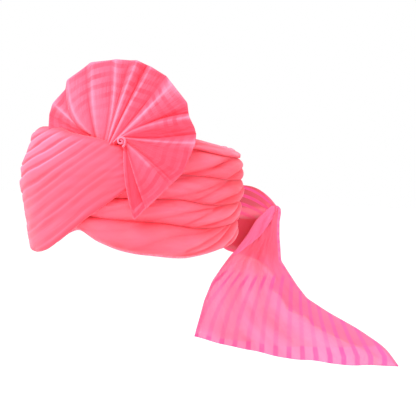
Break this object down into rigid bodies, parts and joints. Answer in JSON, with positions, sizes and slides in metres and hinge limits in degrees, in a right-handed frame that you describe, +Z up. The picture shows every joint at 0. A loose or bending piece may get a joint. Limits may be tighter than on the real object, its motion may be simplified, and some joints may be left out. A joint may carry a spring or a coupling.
{
  "type": "tied turban",
  "caption": "Tied turban of twisted cloth wraps with a ribbed front band, a pleated fan at the top and a long striped tail hanging from the back.",
  "frame": {"origin": "middle of the head opening, on the plane of the rim at the wearer's sides", "axes": "+Z up out of the crown, -Y towards the wearer's forehead, +X towards the wearer's left"},
  "size_m": [0.2807, 0.3802, 0.3314],
  "materials": {
    "wrap_cloth": "matt woven cotton",
    "fan_cloth": "thin matt cloth with woven stripes",
    "tail_cloth": "thin see-through cloth with woven stripes"
  },
  "bodies": {
    "root": {"crown": "wrap_cloth", "coil_1": "wrap_cloth", "coil_2": "wrap_cloth", "coil_3": "wrap_cloth", "coil_4": "wrap_cloth", "coil_5": "wrap_cloth", "front_band": "wrap_cloth", "fan": "fan_cloth", "fan_knot": "fan_cloth", "tail": "tail_cloth"}
  },
  "joints": []
}
